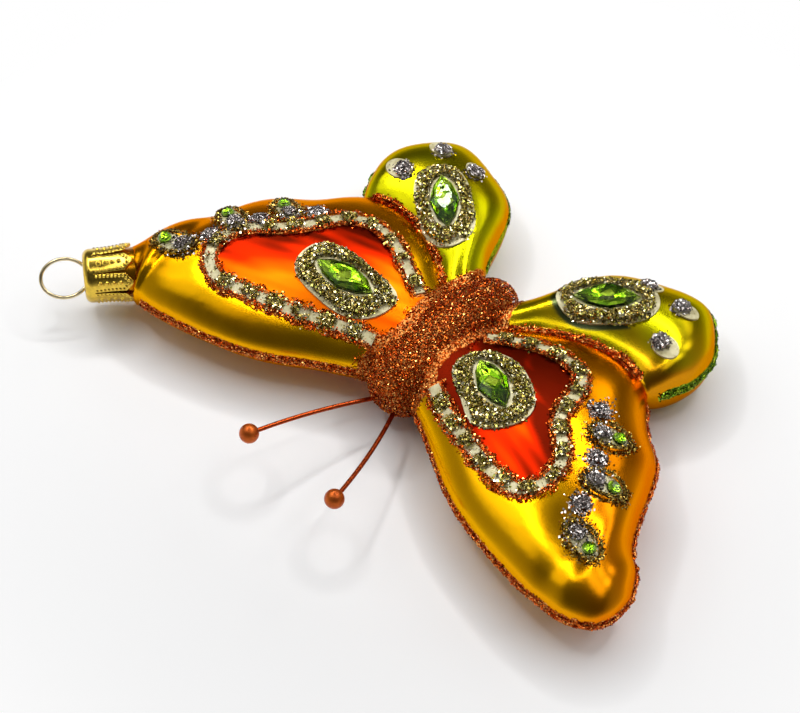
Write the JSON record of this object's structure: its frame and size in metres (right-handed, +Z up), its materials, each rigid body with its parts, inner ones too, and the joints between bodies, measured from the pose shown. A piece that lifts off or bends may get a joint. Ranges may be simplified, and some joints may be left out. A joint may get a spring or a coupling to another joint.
{
  "type": "butterfly ornament",
  "caption": "Hollow blown glass butterfly ornament with glitter bands, faceted stones, wire antennae and a crown cap with a wire hanging loop at one wing tip.",
  "frame": {"origin": "middle of the underside of the box round the whole ornament, lying on its back half", "axes": "+X to the free wing tip, -Y to the head and antennae, +Z up through the decorated side; the mould seam is a level plane"},
  "size_m": [0.1534, 0.0992, 0.0244],
  "materials": {
    "lacquered_glass": "silvered glass under satin gold, orange and green lacquer",
    "neck_glass": "bare silvered glass",
    "stamped_brass": "polished, stamped",
    "brass_wire": "polished drawn wire",
    "antenna_wire": "metallic rust red lacquer",
    "antenna_bead": "satin metallic orange",
    "green_stone": "faceted, foiled back",
    "cream_enamel": "glossy brushed enamel",
    "copper_glitter": "fine metallic glitter in clear glue",
    "gold_glitter": "fine metallic glitter in clear glue",
    "bronze_glitter": "fine metallic glitter in clear glue",
    "green_glitter": "fine metallic glitter in clear glue",
    "silver_glitter": "coarse silver glitter in clear glue"
  },
  "bodies": {
    "ornament": {"antenna_bead_left": "antenna_bead", "antenna_bead_right": "antenna_bead", "antenna_wire_left": "antenna_wire", "antenna_wire_right": "antenna_wire", "band_copper_inner_left": "copper_glitter", "band_copper_inner_right": "copper_glitter", "band_copper_outer_left": "copper_glitter", "band_copper_outer_right": "copper_glitter", "band_enamel_left": "cream_enamel", "band_enamel_right": "cream_enamel", "band_gold_clumps_left": "gold_glitter", "band_gold_clumps_right": "gold_glitter", "body_glitter": "copper_glitter", "chaton_left_1": "green_stone", "chaton_left_2": "green_stone", "chaton_left_3": "green_stone", "chaton_right_1": "green_stone", "chaton_right_2": "green_stone", "chaton_right_3": "green_stone", "glass_body": "lacquered_glass", "glass_neck": "neck_glass", "groove_glitter_left": "copper_glitter", "groove_glitter_right": "copper_glitter", "navette_fore_left": "green_stone", "navette_fore_right": "green_stone", "navette_hind_left": "green_stone", "navette_hind_right": "green_stone", "seam_copper_left": "copper_glitter", "seam_copper_right": "copper_glitter", "seam_green_left": "green_glitter", "seam_green_right": "green_glitter", "silver_dots_fore_left": "silver_glitter", "silver_dots_fore_right": "silver_glitter", "silver_dots_hind_left": "silver_glitter", "silver_dots_hind_right": "silver_glitter", "spot_enamel_left": "cream_enamel", "spot_enamel_right": "cream_enamel", "spot_rings_left": "bronze_glitter", "spot_rings_right": "bronze_glitter", "stone_glitter_fore_left": "gold_glitter", "stone_glitter_fore_right": "gold_glitter", "stone_glitter_hind_left": "gold_glitter", "stone_glitter_hind_right": "gold_glitter", "stone_pad_fore_left": "cream_enamel", "stone_pad_fore_right": "cream_enamel", "stone_pad_hind_left": "cream_enamel", "stone_pad_hind_right": "cream_enamel"},
    "cap": {"crown_cap": "stamped_brass"},
    "hanger": {"hanger_loop": "brass_wire"}
  },
  "joints": [
    {"name": "cap_slide", "type": "slide", "parent": "ornament", "child": "cap", "axis": [-0.632, -0.7749, 0], "range_m": [0, 0.016]},
    {"name": "hanger_slide", "type": "slide", "parent": "cap", "child": "hanger", "axis": [-0.632, -0.7749, 0], "range_m": [0, 0.003]}
  ]
}
